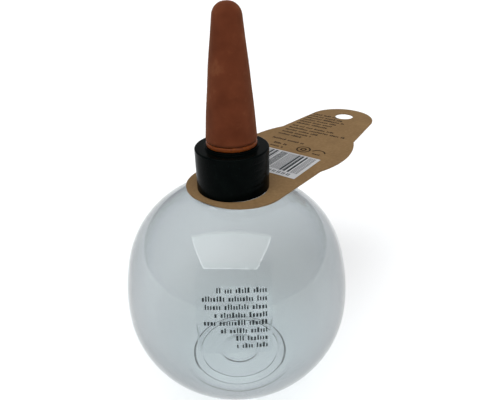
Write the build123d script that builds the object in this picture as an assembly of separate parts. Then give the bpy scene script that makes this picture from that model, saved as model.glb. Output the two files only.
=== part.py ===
from build123d import *
import math
import os

# Watering globe in millimetres. A clear blown bottle is closed by a screw cap that carries
# a hollow clay cone. In use the globe is turned over and the cone is pushed into the soil.
# Frame: +Z up along the neck, -Y to the front, origin on the floor at the centre of the
# standing ring.

# How far every cutting shape runs past the face it leaves
overrun = 1.0

# Blown globe: three tangent arcs from the foot to the neck
globe_radius = 50.0
equator_height = 39.4
side_arc_radius = 88.0
side_arc_rise = 23.6
shoulder_height = 92.4
bottle_wall = 0.8

# Base of the globe: a standing ring round a shallow recess with a domed centre
foot_radius = 25.3
foot_fillet = 6.0
standing_ring_width = 2.5
standing_ring_fillet = 1.6
recess_slope_width = 3.6
foot_fillet_share = 0.7
recess_depth = 1.0
recess_fillet = 1.5
dome_radius = 9.2
dome_rise = 2.4
dome_fillet = 2.0

# Neck: a plain bore, a low ledge that the hang tag lies on, and a screw thread's height
neck_radius = 12.45
neck_wall = 1.6
neck_length = 15.45
neck_rim_fillet = 0.3
ledge_rise = 1.05
ledge_thickness = 2.0
ledge_fillet = 0.4
thread_height = 1.27

# Clear label on the front of the globe, seen from the equator's centre at this angle
label_width = 28.0
label_height = 34.0
label_corner = 2.0
label_thickness = 0.12
label_glue = 0.08
label_tilt_degrees = 31.0
label_turn_degrees = -2.0

# Gasket between the neck's rim and the ceiling of the cap, clear of the cone's spigot
gasket_thickness = 1.4
gasket_clearance = 0.6
gasket_spigot_clearance = 1.85

# Screw cap: a plain skirt, a top plate and a raised boss under the cone
thread_clearance = 0.18
cap_wall = 1.1
cap_plate = 1.6
cap_top_fillet = 0.6
cap_foot_fillet = 0.3
cap_inner_fillet = 0.4
cap_tag_gap = 0.25
boss_radius = 10.9
boss_height = 0.9
boss_fillet = 0.3

# Silicone ring between the boss and the cone
seal_radius = 10.2
seal_thickness = 1.75
seal_fillet = 0.5

# Slip-cast clay cone: one wall thickness all over, down to the spigot under its base
cone_base_radius = 10.35
cone_nose_radius = 4.95
cone_length = 51.25
cone_nose_rise = 0.3
cone_nose_fillet = 4.9
cone_nose_fillet_share = 1.02
cone_belly = 0.3
cone_foot_fillet = 1.2
cone_wall = 2.2
spigot_radius = 7.0
spigot_clearance = 0.05
spigot_drop = 1.1

# Hang tag of stiff card, trapped between the ledge and the cap. Its places run from the
# neck's hole along the card, and the hang hole is set back from the round far end.
tag_thickness = 0.6
tag_turn_degrees = 51.8
tag_hole_clearance = 0.8
tag_seat_width = 1.98
tag_shift_along = 0.05
tag_shift_across = -0.4
tag_near_rim = 3.13
tag_near_cheek = 6.43
tag_near_fillet = 19.45
tag_near_fillet_share = 0.96
tag_waist_place = 32.5
tag_waist_half_width = 23.3
tag_bulge_place = 51.0
tag_bulge_half_width = 26.45
tag_notch_place = 71.6
tag_notch_half_width = 20.85
tag_far_length = 116.6
tag_far_radius = 17.7
hang_hole_radius = 5.0
hang_hole_inset = 12.6

# White paper panel stuck on the tag, with its near edge clear of the cap
panel_width = 35.6
panel_length = 23.8
panel_cap_clearance = 3.6
panel_thickness = 0.1

# Places that follow from the sizes above
side_arc_degrees = math.degrees(math.asin(side_arc_rise / side_arc_radius))
foot_turn_degrees = 90 - 2 * math.degrees(math.atan((globe_radius - foot_radius) / equator_height))
foot_flat_fillet = foot_fillet_share * standing_ring_width / math.tan(math.radians(foot_turn_degrees / 2))
foot_round = min(foot_fillet, foot_flat_fillet)
neck_bore_radius = neck_radius - neck_wall
thread_radius = neck_radius + thread_height
cap_bore_radius = thread_radius + thread_clearance
cap_radius = cap_bore_radius + cap_wall
tag_hole_radius = thread_radius + tag_hole_clearance
ledge_radius = tag_hole_radius + tag_seat_width


def side_arc(inset):
    """Side of the globe's section, from the equator up."""
    centre = (globe_radius - side_arc_radius, equator_height)
    return CenterArc(centre, side_arc_radius - inset, 0, side_arc_degrees)


def shoulder_arc(inset):
    """Shoulder of the globe's section, from the side's end to the neck's root."""
    side = side_arc(inset)
    return TangentArc(side @ 1, (neck_radius, shoulder_height - inset), tangent=side % 1)


# The ledge stands above the shoulder's highest point, and what it carries follows it
crown_height = shoulder_arc(0).bounding_box().max.Y
ledge_top = crown_height + ledge_rise
rim_height = ledge_top + neck_length
tag_top = ledge_top + tag_thickness
cap_bottom = tag_top + cap_tag_gap
cap_ceiling = rim_height + gasket_thickness
cap_top = cap_ceiling + cap_plate
boss_top = cap_top + boss_height
cone_base = boss_top + seal_thickness
spigot_hole_radius = spigot_radius + spigot_clearance
spigot_bore_radius = spigot_radius - cone_wall
spigot_bottom = cap_ceiling - spigot_drop
gasket_bore_radius = spigot_radius + gasket_spigot_clearance
tag_near_length = tag_hole_radius + tag_near_rim
tag_near_half_width = tag_hole_radius + tag_near_cheek
tag_near_round = min(tag_near_fillet, tag_near_fillet_share * tag_near_half_width)
tag_far_centre = tag_far_length - tag_far_radius
hang_hole_place = tag_far_length - hang_hole_inset
panel_place = cap_radius + panel_cap_clearance


def spin(section):
    """Turn a section of (radius, height) points round the vertical axis."""
    return revolve(Plane.XZ * section, Axis.Z)


def corner(section, place):
    """The corner of a section that lies nearest to a place."""
    return section.vertices().sort_by_distance(place)[0]


def disc(radius, bottom, top):
    """An upright cylinder between two heights."""
    return Pos(0, 0, bottom) * Cylinder(radius, top - bottom, align=(Align.CENTER, Align.CENTER, Align.MIN))


def round_top(body, size):
    """Round the outer edge of a body's top face."""
    edge = body.faces().sort_by(Axis.Z)[-1].edges().sort_by(SortBy.LENGTH)[-1]
    return fillet(edge, size)


def globe_body(inset):
    """Blown globe up to the neck's root, as a solid with every face moved in by the inset."""
    recess_edge = foot_radius - standing_ring_width
    recess_radius = recess_edge - recess_slope_width
    floor_height = recess_depth + inset
    dome = TangentArc((0, floor_height + dome_rise), (dome_radius, floor_height), tangent=(1, 0))
    base = Polyline(
        dome @ 1,
        (recess_radius, floor_height),
        (recess_edge, inset),
        (foot_radius, inset),
    )
    lower = TangentArc((globe_radius - inset, equator_height), base @ 1, tangent=(0, -1))
    shoulder = shoulder_arc(inset)
    closing = Polyline(shoulder @ 1, (0, shoulder_height - inset), dome @ 0)
    section = make_face([dome, base, lower, side_arc(inset), shoulder, closing])
    section = fillet(corner(section, (dome_radius, floor_height)), dome_fillet - inset)
    section = fillet(corner(section, (recess_radius, floor_height)), recess_fillet + inset)
    section = fillet(corner(section, (recess_edge, inset)), standing_ring_fillet - inset)
    section = fillet(corner(section, (foot_radius, inset)), foot_round - inset)
    return spin(section)


def globe_bottle():
    """Blown shell with its base, the neck and the ledge round the neck's root."""
    ledge = round_top(disc(ledge_radius, ledge_top - ledge_thickness, ledge_top), ledge_fillet)
    neck = round_top(disc(neck_radius, shoulder_height - ledge_thickness, rim_height), neck_rim_fillet)
    bore = disc(neck_bore_radius, equator_height, rim_height + overrun)
    return globe_body(0) + ledge + neck - globe_body(bottle_wall) - bore


def clear_label():
    """Film with round corners that follows the globe's front."""
    tilt = math.radians(label_tilt_degrees)
    turn = math.radians(label_turn_degrees)
    outward = (math.sin(turn) * math.cos(tilt), -math.cos(turn) * math.cos(tilt), math.sin(tilt))
    level = (math.cos(turn), math.sin(turn), 0)
    view = Plane(origin=(0, 0, equator_height), x_dir=level, z_dir=outward)
    window = extrude(view * RectangleRounded(label_width, label_height, label_corner), globe_radius + shoulder_height)
    return (window & globe_body(-label_glue - label_thickness)) - globe_body(-label_glue)


def neck_gasket():
    """Flat washer on the neck's rim."""
    outer = disc(cap_bore_radius - gasket_clearance, rim_height, cap_ceiling)
    return outer - disc(gasket_bore_radius, rim_height - overrun, cap_ceiling + overrun)


def screw_cap():
    """Skirt, top plate and boss, with a bore for the cone's spigot."""
    section = make_face(
        Polyline(
            (cap_bore_radius, cap_bottom),
            (cap_radius, cap_bottom),
            (cap_radius, cap_top),
            (boss_radius, cap_top),
            (boss_radius, boss_top),
            (spigot_hole_radius, boss_top),
            (spigot_hole_radius, cap_ceiling),
            (cap_bore_radius, cap_ceiling),
            close=True,
        )
    )
    section = fillet(corner(section, (cap_radius, cap_bottom)), cap_foot_fillet)
    section = fillet(corner(section, (cap_radius, cap_top)), cap_top_fillet)
    section = fillet(corner(section, (boss_radius, cap_top)), boss_fillet)
    section = fillet(corner(section, (boss_radius, boss_top)), boss_fillet)
    section = fillet(corner(section, (cap_bore_radius, cap_ceiling)), cap_inner_fillet)
    return spin(section)


def cone_seal_ring():
    """Soft ring squeezed between the boss and the cone, with a rounded rim."""
    section = make_face(
        Polyline(
            (spigot_hole_radius, boss_top),
            (seal_radius, boss_top),
            (seal_radius, cone_base),
            (spigot_hole_radius, cone_base),
            close=True,
        )
    )
    for height in (boss_top, cone_base):
        section = fillet(corner(section, (seal_radius, height)), seal_fillet)
    return spin(section)


def cone_body(inset):
    """Tapered body with a blunt nose, every face moved inwards by the inset."""
    tip = cone_base + cone_length - inset
    foot = (cone_base_radius - inset, cone_base + inset)
    nose = (cone_nose_radius - inset, tip - cone_nose_rise)
    floor_line = Line((0, foot[1]), foot)
    taper = SagittaArc(foot, nose, -cone_belly)
    nose_arc = TangentArc((0, tip), nose, tangent=(1, 0))
    axis_line = Line((0, tip), (0, foot[1]))
    section = make_face([floor_line, taper, nose_arc, axis_line])
    nose_round = min(cone_nose_fillet - inset, cone_nose_fillet_share * nose[0])
    section = fillet(corner(section, nose), nose_round)
    if not inset:
        section = fillet(corner(section, foot), cone_foot_fillet)
    return spin(section)


def terracotta_cone():
    """Hollow cone whose spigot passes through the ring and the cap."""
    spigot = disc(spigot_radius, spigot_bottom, cone_base + cone_wall)
    bore = disc(spigot_bore_radius, spigot_bottom - overrun, cone_base + cone_wall + overrun)
    return cone_body(0) + spigot - cone_body(cone_wall) - bore


def tag_place(height):
    """Frame of the tag at a height: X along it from the neck, Y across it."""
    turned = Pos(0, 0, height) * Rot(0, 0, tag_turn_degrees)
    return turned * Pos(tag_shift_along, tag_shift_across, 0)


def tag_outline():
    """Mirrored card outline: a round near end, a bulge, two notches and a round far end."""
    near = Polyline(
        (-tag_near_length, 0),
        (-tag_near_length, tag_near_half_width),
        (tag_waist_place, tag_waist_half_width),
    )
    bulge = ThreePointArc(
        near @ 1,
        (tag_bulge_place, tag_bulge_half_width),
        (tag_notch_place, tag_notch_half_width),
    )
    back = tag_notch_place - tag_far_centre
    touch = math.atan2(tag_notch_half_width, back) - math.acos(tag_far_radius / math.hypot(back, tag_notch_half_width))
    far = CenterArc((tag_far_centre, 0), tag_far_radius, 0, math.degrees(touch))
    flank = Line(bulge @ 1, far @ 1)
    middle = Line(far @ 0, near @ 0)
    half = make_face([near, bulge, flank, far, middle])
    half = fillet(corner(half, (-tag_near_length, tag_near_half_width)), tag_near_round)
    return half + mirror(half, about=Plane.XZ)


def hang_tag():
    """Card with the neck hole and the hole that it hangs by."""
    card = tag_outline() - Circle(tag_hole_radius) - Pos(hang_hole_place, 0) * Circle(hang_hole_radius)
    return tag_place(ledge_top) * extrude(card, tag_thickness)


def tag_panel():
    """Blank paper panel stuck on the card beyond the cap."""
    sheet = Rectangle(panel_length, panel_width, align=(Align.MIN, Align.CENTER))
    return tag_place(tag_top) * Pos(panel_place, 0, 0) * extrude(sheet, panel_thickness)


pieces = {
    "globe_bottle": globe_bottle,
    "clear_label": clear_label,
    "neck_gasket": neck_gasket,
    "screw_cap": screw_cap,
    "cone_seal_ring": cone_seal_ring,
    "terracotta_cone": terracotta_cone,
    "hang_tag": hang_tag,
    "tag_panel": tag_panel,
}

os.makedirs("parts", exist_ok=True)
for name, make in pieces.items():
    export_step(make(), f"parts/{name}.step")
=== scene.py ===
"""Looks of a watering globe: a clear blown globe, its screw cap with a clay cone, and a hang tag.

Every size of a piece is in millimetres in the part's own frame, +Z up along the neck, and meshes
are written in metres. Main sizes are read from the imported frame, the others are named fields below.
"""

import logging
import math
from dataclasses import dataclass, replace
from enum import Enum
from typing import Callable

import bpy
import numpy as np
from mathutils import Matrix, Vector

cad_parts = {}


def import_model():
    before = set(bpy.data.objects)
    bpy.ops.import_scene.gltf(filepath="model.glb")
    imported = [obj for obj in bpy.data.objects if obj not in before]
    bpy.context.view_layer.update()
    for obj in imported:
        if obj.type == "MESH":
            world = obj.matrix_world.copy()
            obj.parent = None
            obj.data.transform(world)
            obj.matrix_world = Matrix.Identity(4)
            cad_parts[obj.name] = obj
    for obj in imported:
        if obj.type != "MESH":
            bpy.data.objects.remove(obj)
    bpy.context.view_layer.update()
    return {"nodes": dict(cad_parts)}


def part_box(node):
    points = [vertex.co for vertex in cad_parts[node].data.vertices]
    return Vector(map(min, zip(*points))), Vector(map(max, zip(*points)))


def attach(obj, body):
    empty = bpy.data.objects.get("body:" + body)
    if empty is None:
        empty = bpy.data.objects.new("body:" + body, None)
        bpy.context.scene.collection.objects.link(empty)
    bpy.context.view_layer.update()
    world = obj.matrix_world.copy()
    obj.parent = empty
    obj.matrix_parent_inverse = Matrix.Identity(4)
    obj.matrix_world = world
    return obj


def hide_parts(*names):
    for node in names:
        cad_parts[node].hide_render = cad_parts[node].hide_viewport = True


LOG = logging.getLogger("watering_globe")
MM = 0.001
SEGMENTS = 192
ARC_STEP_DEGREES = 3.0
RUN_STEP = 4.0
# Millimetres within which a row lies on a face, and within which two points are one.
CLOSE = 0.01
SAME = 1e-6
TURN = 2.0 * math.pi

Grid = np.ndarray
Pair = tuple[float, float]
Triple = tuple[float, float, float]
Tones = tuple[tuple[float, str], ...]
Place = Callable[[Grid, Grid, float], Grid]
Tree = bpy.types.NodeTree
Socket = bpy.types.NodeSocket
Piece = bpy.types.Object


class Body(Enum):
    """Moving bodies of the frame that a piece can ride on."""

    GLOBE = "globe"
    GASKET = "gasket"
    CAP = "cap"
    TAG = "tag"


class Side(Enum):
    """Which way a thread's ridge stands from the surface that carries it."""

    OUTSIDE = 1.0
    INSIDE = -1.0


# Colours and nodes


def linear(code: str) -> tuple[float, float, float, float]:
    """Turn an sRGB hex colour into linear light: a straight line near black, a power above it.

    Args:
        code: six hex digits after a hash sign.

    Returns:
        Red, green, blue and an alpha of one.
    """
    values = [int(code[i : i + 2], 16) / 255 for i in (1, 3, 5)]
    light = [v / 12.92 if v <= 0.04045 else ((v + 0.055) / 1.055) ** 2.4 for v in values]
    return (*light, 1.0)


def add_node(
    tree: Tree,
    kind: str,
    settings: dict | None = None,
    links: dict | None = None,
    **options: object,
) -> bpy.types.Node:
    """Add one node with its socket values, links and options.

    Args:
        tree: the tree that gets the node.
        kind: Blender's name of the node.
        settings: input name or number to its value.
        links: input name or number to the output that feeds it.
        options: attributes of the node itself, such as operation.

    Returns:
        The new node.
    """
    node = tree.nodes.new(kind)
    for name, value in options.items():
        setattr(node, name, value)
    for name, value in (settings or {}).items():
        node.inputs[name].default_value = value
    for name, source in (links or {}).items():
        tree.links.new(source, node.inputs[name])
    return node


def add_ramp(tree: Tree, source: Socket, tones: Tones) -> Socket:
    """Colour ramp over a value.

    Args:
        tree: the tree that gets the ramp.
        source: output that drives it, zero to one.
        tones: place and hex colour of each stop, in order.

    Returns:
        The ramp's colour output.
    """
    node = add_node(tree, "ShaderNodeValToRGB", links={0: source})
    ramp = node.color_ramp
    for place, _ in tones[1:-1]:
        ramp.elements.new(place)
    for element, (place, code) in zip(ramp.elements, tones):
        element.position = place
        element.color = linear(code)
    return node.outputs["Color"]


def spread(tree: Tree, source: Socket, span: Pair, result: Pair, clamp: bool = True) -> Socket:
    """Carry a value in a straight line from one span to another.

    Args:
        tree: the tree that gets the node.
        source: output that gives the value.
        span: low and high value.
        result: what the low and the high value become.
        clamp: True to keep the result within its ends.

    Returns:
        The result's output.
    """
    ends = {"From Min": span[0], "From Max": span[1], "To Min": result[0], "To Max": result[1]}
    return add_node(tree, "ShaderNodeMapRange", ends, {"Value": source}, clamp=clamp).outputs[0]


def reckon(tree: Tree, operation: str, *terms: Socket | float) -> Socket:
    """Do one sum on outputs and floats.

    Args:
        tree: the tree that gets the node.
        operation: Blender's name of the sum.
        terms: outputs or floats, in the node's order.

    Returns:
        The result's output.
    """
    settings = {place: term for place, term in enumerate(terms) if isinstance(term, float)}
    links = {place: term for place, term in enumerate(terms) if place not in settings}
    return add_node(tree, "ShaderNodeMath", settings, links, operation=operation).outputs[0]


def blend(tree: Tree, share: Socket, ground: Socket, code: str) -> Socket:
    """Lay a colour over a ground. The Mix node's colours are its inputs 6 and 7 and its output 2.

    Args:
        tree: the tree that gets the node.
        share: output that says how much of the colour shows, zero to one.
        ground: output of the ground's colour.
        code: hex colour laid over it.

    Returns:
        The mixed colour's output.
    """
    links = {0: share, 6: ground}
    return add_node(tree, "ShaderNodeMix", {7: linear(code)}, links, data_type="RGBA").outputs[2]


@dataclass(frozen=True)
class Grain:
    """Noise whose lumps measure about a real size, and the relief that it makes in a surface."""

    size_mm: float
    detail: float = 3.0
    depth_mm: float = 0.0
    strength: float = 1.0
    fineness: float = 0.55

    def value(self, tree: Tree, coords: Socket) -> Socket:
        """Noise over coordinates.

        Args:
            tree: the tree that gets the noise.
            coords: output of the coordinates, in metres.

        Returns:
            Output of the noise, zero to one.
        """
        scale = 1 / (self.size_mm * MM)
        settings = {"Scale": scale, "Detail": self.detail, "Roughness": self.fineness}
        return add_node(tree, "ShaderNodeTexNoise", settings, {"Vector": coords}).outputs["Fac"]

    def relief(self, tree: Tree, value: Socket) -> Socket:
        """Output for the shader's normal: a value of one stands as high as the depth."""
        settings = {"Strength": self.strength, "Distance": self.depth_mm * MM}
        return add_node(tree, "ShaderNodeBump", settings, {"Height": value}).outputs[0]


# Finishes. Each starts from what the real material is and how its surface was made.


@dataclass(frozen=True)
class Finish:
    """A finish: one material with its own Principled shader."""

    title: str
    roughness: float = 0.5
    specular: float = 0.5
    refraction: float = 1.5
    tones: Tones = ()
    grain: Grain = Grain(1.0)

    def material(self) -> bpy.types.Material:
        """Build the material. Values that are the same all over go on the shader's own sockets.

        Returns:
            A material with nodes.
        """
        material = bpy.data.materials.new(self.title)
        material.use_nodes = True
        tree = material.node_tree
        tree.nodes.clear()
        coords = add_node(tree, "ShaderNodeTexCoord").outputs["Object"]
        sockets = {"Roughness": self.roughness, "Specular IOR Level": self.specular}
        sockets |= {"IOR": self.refraction} | self.sockets(tree, coords)
        links = {name: value for name, value in sockets.items() if isinstance(value, Socket)}
        settings = {name: value for name, value in sockets.items() if name not in links}
        shader = add_node(tree, "ShaderNodeBsdfPrincipled", settings, links)
        add_node(tree, "ShaderNodeOutputMaterial", links={"Surface": self.surface(tree, shader)})
        return material

    def surface(self, tree: Tree, shader: bpy.types.Node) -> Socket:
        """Output that feeds the surface: the plain shader."""
        return shader.outputs[0]

    def sockets(self, tree: Tree, coords: Socket) -> dict:
        """What the shader gets beside its gloss: here the tones in grains, with their relief.

        Args:
            tree: the material's tree.
            coords: object coordinates, in metres.

        Returns:
            Names of the shader's sockets to their values or to the outputs that feed them.
        """
        value = self.grain.value(tree, coords)
        sockets = {"Base Color": add_ramp(tree, value, self.tones)}
        if self.grain.depth_mm:
            sockets["Normal"] = self.grain.relief(tree, value)
        return sockets


@dataclass(frozen=True)
class ClearFinish(Finish):
    """A clear finish that lets lamps through: shadow rays pass it almost unweakened."""

    passing: str = "#FBFCFC"

    def surface(self, tree: Tree, shader: bpy.types.Node) -> Socket:
        """Mix the shader with plain transparency for shadow rays alone.

        Args:
            tree: the material's tree.
            shader: the Principled shader.

        Returns:
            Output that feeds the surface.
        """
        clear = add_node(tree, "ShaderNodeBsdfTransparent", {"Color": linear(self.passing)})
        ray = add_node(tree, "ShaderNodeLightPath")
        links = {0: ray.outputs["Is Shadow Ray"], 1: shader.outputs[0], 2: clear.outputs[0]}
        return add_node(tree, "ShaderNodeMixShader", links=links).outputs[0]


@dataclass(frozen=True)
class ClearPolyester(ClearFinish):
    """Stretch-blown clear PET: a glossy cool grey wall, darker where it is looked along."""

    roughness: float = 0.01
    refraction: float = 1.36
    tones: Tones = ((0.1, "#DBDFE0"), (0.45, "#D4D8DA"), (0.65, "#C2C6C8"), (0.85, "#7C8285"))
    facing_blend: float = 0.5
    grain: Grain = Grain(16.0, detail=1.0, depth_mm=0.05)

    def sockets(self, tree: Tree, coords: Socket) -> dict:
        """Clear wall whose thickness drifts a little, so that reflections waver.

        Args:
            tree: the material's tree.
            coords: object coordinates, in metres.

        Returns:
            Names of the shader's sockets to their values or to the outputs that feed them.
        """
        look = add_node(tree, "ShaderNodeLayerWeight", {"Blend": self.facing_blend})
        return {
            "Base Color": add_ramp(tree, look.outputs["Facing"], self.tones),
            "Normal": self.grain.relief(tree, self.grain.value(tree, coords)),
            "Transmission Weight": 1.0,
        }


@dataclass(frozen=True)
class ClearFilm(ClearFinish):
    """Clear polypropylene label film: a shade duller than the wall, with a fine haze of glue."""

    refraction: float = 1.05
    tint: str = "#FBFCFC"
    grain: Grain = Grain(1.6)
    haze_span: Pair = (0.35, 0.7)
    roughness_span: Pair = (0.01, 0.04)

    def sockets(self, tree: Tree, coords: Socket) -> dict:
        """Thin film with patchy haze.

        Args:
            tree: the material's tree.
            coords: object coordinates, in metres.

        Returns:
            Names of the shader's sockets to their values or to the outputs that feed them.
        """
        haze = self.grain.value(tree, coords)
        return {
            "Base Color": linear(self.tint),
            "Roughness": spread(tree, haze, self.haze_span, self.roughness_span),
            "Transmission Weight": 1.0,
        }


@dataclass(frozen=True)
class PrintInk(Finish):
    """Screen-printed ink: an even, slightly glossy dark layer whose cover varies a little."""

    specular: float = 0.12
    tones: Tones = ((0.35, "#1B2022"), (0.7, "#2A3032"))
    grain: Grain = Grain(0.5)


@dataclass(frozen=True)
class MouldedPolypropylene(Finish):
    """Injection-moulded black polypropylene: deep black, glossy, with a faint orange peel."""

    specular: float = 0.02
    refraction: float = 1.49
    tones: Tones = ((0.3, "#010303"), (0.75, "#040807"))
    grain: Grain = Grain(5.0, detail=4.0)
    haze_span: Pair = (0.3, 0.75)
    roughness_span: Pair = (0.2, 0.3)
    peel: Grain = Grain(0.9, detail=2.0, depth_mm=0.006)

    def sockets(self, tree: Tree, coords: Socket) -> dict:
        """Black with handling haze and orange peel.

        Args:
            tree: the material's tree.
            coords: object coordinates, in metres.

        Returns:
            Names of the shader's sockets to their values or to the outputs that feed them.
        """
        haze = self.grain.value(tree, coords)
        return {
            "Base Color": add_ramp(tree, haze, self.tones),
            "Roughness": spread(tree, haze, self.haze_span, self.roughness_span),
            "Normal": self.peel.relief(tree, self.peel.value(tree, coords)),
        }


@dataclass(frozen=True)
class MouldedSilicone(Finish):
    """Moulded silicone: satin, slightly translucent, with a fine bloom of dust."""

    roughness: float = 0.38
    specular: float = 0.25
    refraction: float = 1.41
    tones: Tones = ((0.3, "#562405"), (0.75, "#7A3A07"))
    grain: Grain = Grain(1.2, detail=4.0)
    glow_share: float = 0.15
    glow_mm: float = 1.5
    glow_reach: Triple = (0.9, 0.4, 0.2)

    def sockets(self, tree: Tree, coords: Socket) -> dict:
        """Dusty orange that light gets into, red the deepest.

        Args:
            tree: the material's tree.
            coords: object coordinates, in metres.

        Returns:
            Names of the shader's sockets to their values or to the outputs that feed them.
        """
        return super().sockets(tree, coords) | {
            "Subsurface Weight": self.glow_share,
            "Subsurface Radius": self.glow_reach,
            "Subsurface Scale": self.glow_mm * MM,
        }


@dataclass(frozen=True)
class FiredClay(Finish):
    """Slip-cast terracotta, unglazed: matt and porous, with cloudy iron colour and fine pits."""

    roughness: float = 0.85
    specular: float = 0.12
    tones: Tones = ((0.32, "#502410"), (0.62, "#5C2D18"), (0.9, "#77472D"))
    grain: Grain = Grain(9.0)
    grit: Grain = Grain(0.45, detail=5.0, depth_mm=0.05, strength=0.7)
    smudge: Grain = Grain(2.6, detail=6.0)
    smudge_span: Pair = (0.6, 0.85)
    smudge_share: float = 0.3
    smudge_tone: str = "#77472D"
    bloom: str = "#C99A6E"
    bloom_share: float = 0.22
    bloom_roughness: float = 0.4

    def sockets(self, tree: Tree, coords: Socket) -> dict:
        """Clouds of colour under pale dust, over a gritty relief.

        Args:
            tree: the material's tree.
            coords: object coordinates, in metres.

        Returns:
            Names of the shader's sockets to their values or to the outputs that feed them.
        """
        ground = add_ramp(tree, self.grain.value(tree, coords), self.tones)
        smudge = self.smudge.value(tree, coords)
        dusty = spread(tree, smudge, self.smudge_span, (0.0, self.smudge_share))
        return {
            "Base Color": blend(tree, dusty, ground, self.smudge_tone),
            "Normal": self.grit.relief(tree, self.grit.value(tree, coords)),
            "Sheen Weight": self.bloom_share,
            "Sheen Roughness": self.bloom_roughness,
            "Sheen Tint": linear(self.bloom),
        }


@dataclass(frozen=True)
class KraftBoard(Finish):
    """Unbleached kraft board: brown, matt, with short fibres and flecks of bark."""

    roughness: float = 0.85
    specular: float = 0.2
    tones: Tones = ((0.32, "#6C5437"), (0.5, "#775D3D"), (0.68, "#836947"))
    grain: Grain = Grain(16.0, detail=2.0)
    turn_degrees: float = 51.8
    fibre_stretch: Triple = (0.6, 1.3, 1.0)
    fibre: Grain = Grain(0.7, detail=5.0, depth_mm=0.03, strength=0.5)
    fibre_share: float = 0.7
    fleck: Grain = Grain(0.5, detail=1.0)
    fleck_span: Pair = (0.72, 0.8)
    fleck_share: float = 0.5
    fleck_tone: str = "#5A452F"

    def sockets(self, tree: Tree, coords: Socket) -> dict:
        """Short fibres that lie mostly along the card, soft clouds and sparse dark flecks.

        Args:
            tree: the material's tree.
            coords: object coordinates, in metres.

        Returns:
            Names of the shader's sockets to their values or to the outputs that feed them.
        """
        turn = (0, 0, math.radians(-self.turn_degrees))
        settings = {"Rotation": turn, "Scale": self.fibre_stretch}
        along = add_node(tree, "ShaderNodeMapping", settings, {"Vector": coords}).outputs[0]
        fibres = self.fibre.value(tree, along)
        shares = reckon(tree, "MULTIPLY", fibres, self.fibre_share)
        clouds = self.grain.value(tree, coords)
        mottle = reckon(tree, "MULTIPLY_ADD", clouds, 1 - self.fibre_share, shares)
        flecks = self.fleck.value(tree, coords)
        sparse = spread(tree, flecks, self.fleck_span, (0.0, self.fleck_share))
        return {
            "Base Color": blend(tree, sparse, add_ramp(tree, mottle, self.tones), self.fleck_tone),
            "Normal": self.fibre.relief(tree, fibres),
        }


@dataclass(frozen=True)
class CoatedPaper(Finish):
    """White label paper: smooth, slightly cool, with faint mottling."""

    roughness: float = 0.45
    tones: Tones = ((0.35, "#ADADAE"), (0.65, "#B6B6B6"))
    grain: Grain = Grain(2.2, detail=4.0)


@dataclass(frozen=True)
class FoamedPolyethylene(Finish):
    """Foamed polyethylene liner: off-white, matt, its cells a third of a millimetre wide."""

    roughness: float = 0.8
    tones: Tones = ((0.3, "#AFAFA8"), (0.7, "#C9C9C2"))
    grain: Grain = Grain(0.35, depth_mm=0.05, strength=0.6)


@dataclass(frozen=True)
class StudioPaper(Finish):
    """Plain pale studio floor."""

    roughness: float = 0.9
    specular: float = 0.1
    white: str = "#FBFBFB"

    def sockets(self, tree: Tree, coords: Socket) -> dict:
        """Plain matt white."""
        return {"Base Color": linear(self.white)}


# Sections and surfaces


def arc(centre: Pair, radius: float, start: float, end: float) -> Grid:
    """Points on a circle's arc: the centre plus the radius times (cosine, sine) of the angle.

    Args:
        centre: radius and height of the circle's centre.
        radius: the circle's radius.
        start: first angle in degrees.
        end: last angle in degrees.

    Returns:
        Rows of (radius, height).
    """
    steps = max(2, math.ceil(abs(end - start) / ARC_STEP_DEGREES))
    angles = np.radians(np.linspace(start, end, steps + 1))
    return np.stack([centre[0] + radius * np.cos(angles), centre[1] + radius * np.sin(angles)], 1)


def outline(corners: list[Triple], closed: bool, step: float = RUN_STEP) -> Grid:
    """Section through corners, each rounded by its own radius.

    A rounded corner is a circle's arc that touches both straight runs, at the radius times the
    tangent of half the turn from the corner. Runs are divided so that no stretch passes the step.

    Args:
        corners: radius, height and rounding of each corner.
        closed: True if the last corner joins the first.
        step: longest stretch of a straight run.

    Returns:
        Rows of (radius, height).
    """
    count = len(corners)
    stretches = []
    for index, (x, z, rounding) in enumerate(corners):
        here = np.array([x, z])
        if rounding == 0 or (not closed and index in (0, count - 1)):
            stretches.append(here[None])
            continue
        back = np.array(corners[index - 1][:2]) - here
        ahead = np.array(corners[(index + 1) % count][:2]) - here
        back, ahead = back / np.linalg.norm(back), ahead / np.linalg.norm(ahead)
        half = math.acos(np.clip(back @ ahead, -1, 1)) / 2
        reach = rounding / math.tan(half)
        centre = here + (back + ahead) / np.linalg.norm(back + ahead) * rounding / math.sin(half)
        first, last = here + back * reach - centre, here + ahead * reach - centre
        start = math.degrees(math.atan2(first[1], first[0]))
        sweep = (math.degrees(math.atan2(last[1], last[0])) - start + 180) % 360 - 180
        stretches.append(arc(tuple(centre), rounding, start, start + sweep))
    rows = np.concatenate(stretches + ([stretches[0][:1]] if closed else []))
    return divided(rows, step)[: -1 if closed else None]


def divided(rows: Grid, step: float) -> Grid:
    """Divide the runs of a section that are longer than a step into equal stretches.

    Args:
        rows: points of (radius, height).
        step: longest stretch that stays.

    Returns:
        The same section with more points.
    """
    kept = [rows[:1]]
    for a, b in zip(rows[:-1], rows[1:]):
        parts = max(1, math.ceil(np.linalg.norm(b - a) / step))
        kept.append(a + (b - a) * (np.arange(1, parts + 1) / parts)[:, None])
    return np.concatenate(kept)


def spun(rows: Grid, swell: Grid | float = 0.0) -> Grid:
    """Spin a section round the vertical axis: radius plus swell, times cosine and sine of the turn.

    Args:
        rows: points of (radius, height), from the section's first end to its last.
        swell: what is added to the radius, for every row and turn.

    Returns:
        Grid of rows by turns by (x, y, z).
    """
    turns = np.arange(SEGMENTS) * TURN / SEGMENTS
    radius = np.maximum(rows[:, :1] + swell, 0) * np.ones(SEGMENTS)
    height = rows[:, 1:] * np.ones(SEGMENTS)
    return np.stack([radius * np.cos(turns), radius * np.sin(turns), height], 2)


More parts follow.
